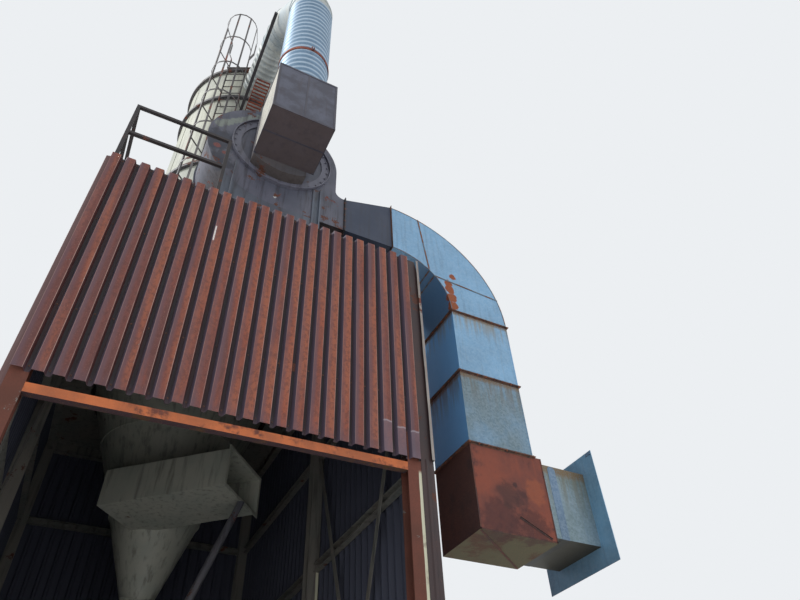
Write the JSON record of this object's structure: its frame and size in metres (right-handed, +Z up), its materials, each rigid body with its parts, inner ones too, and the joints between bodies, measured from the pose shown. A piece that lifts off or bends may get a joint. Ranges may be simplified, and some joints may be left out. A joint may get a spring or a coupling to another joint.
{
  "type": "baghouse dust collector",
  "caption": "Round filter house on a ribbed-sheeted steel tower, with a centrifugal fan, a round clean-air duct with a gored bend and a square discharge duct to a wall flange.",
  "frame": {"origin": "centre of the underside of the front left column's base plate, on the ground", "axes": "+X to the right along the sheeted front, +Y from the front to the back, +Z up"},
  "size_m": [6.246, 7.2987, 18.02],
  "materials": {
    "sheeting": "oxide red sheeting, weathered",
    "frame_steel": "dark primer, rusty",
    "rusty_steel": "heavy rust",
    "galvanised": "dull zinc",
    "fan_paint": "dark blue-grey paint, flaking",
    "cream_paint": "chalky cream paint",
    "dark_steel": "dark paint",
    "rusty_duct": "red-brown rust",
    "inside_paint": "grey-green paint"
  },
  "bodies": {
    "root": {"base_plates": "frame_steel", "branch_duct": "galvanised", "corner_flashing": "galvanised", "deck_beams": "frame_steel", "deck_guard_rail": "dark_steel", "deck_plate": "frame_steel", "dirty_air_inlet": "inside_paint", "discharge_elbow": "galvanised", "discharge_spout": "inside_paint", "discharge_valve": "inside_paint", "duct_flanges": "rusty_steel", "duct_outriggers": "dark_steel", "duct_rack": "rusty_steel", "elbow_cheeks": "galvanised", "fan_base": "fan_paint", "fan_casing": "fan_paint", "fan_motor": "fan_paint", "fan_side_ring": "fan_paint", "filter_house_roof": "cream_paint", "filter_house_shell": "cream_paint", "front_beam": "rusty_steel", "front_siding": "sheeting", "hopper_cone": "inside_paint", "inlet_box": "fan_paint", "inlet_collar": "fan_paint", "ladder": "cream_paint", "ladder_cage": "cream_paint", "left_siding": "sheeting", "lower_drop_duct": "galvanised", "outlet_transition": "fan_paint", "raking_prop": "inside_paint", "rear_siding": "sheeting", "return_bend": "galvanised", "return_duct": "galvanised", "right_siding": "sheeting", "riser_clamp_ring": "rusty_steel", "riser_duct": "galvanised", "roof_landing": "cream_paint", "shell_bands": "dark_steel", "support_ring": "frame_steel", "tower_columns": "frame_steel", "turning_box": "rusty_duct", "upper_drop_duct": "galvanised", "wall_braces": "frame_steel", "wall_flange": "galvanised", "wall_girts": "frame_steel"}
  },
  "joints": []
}
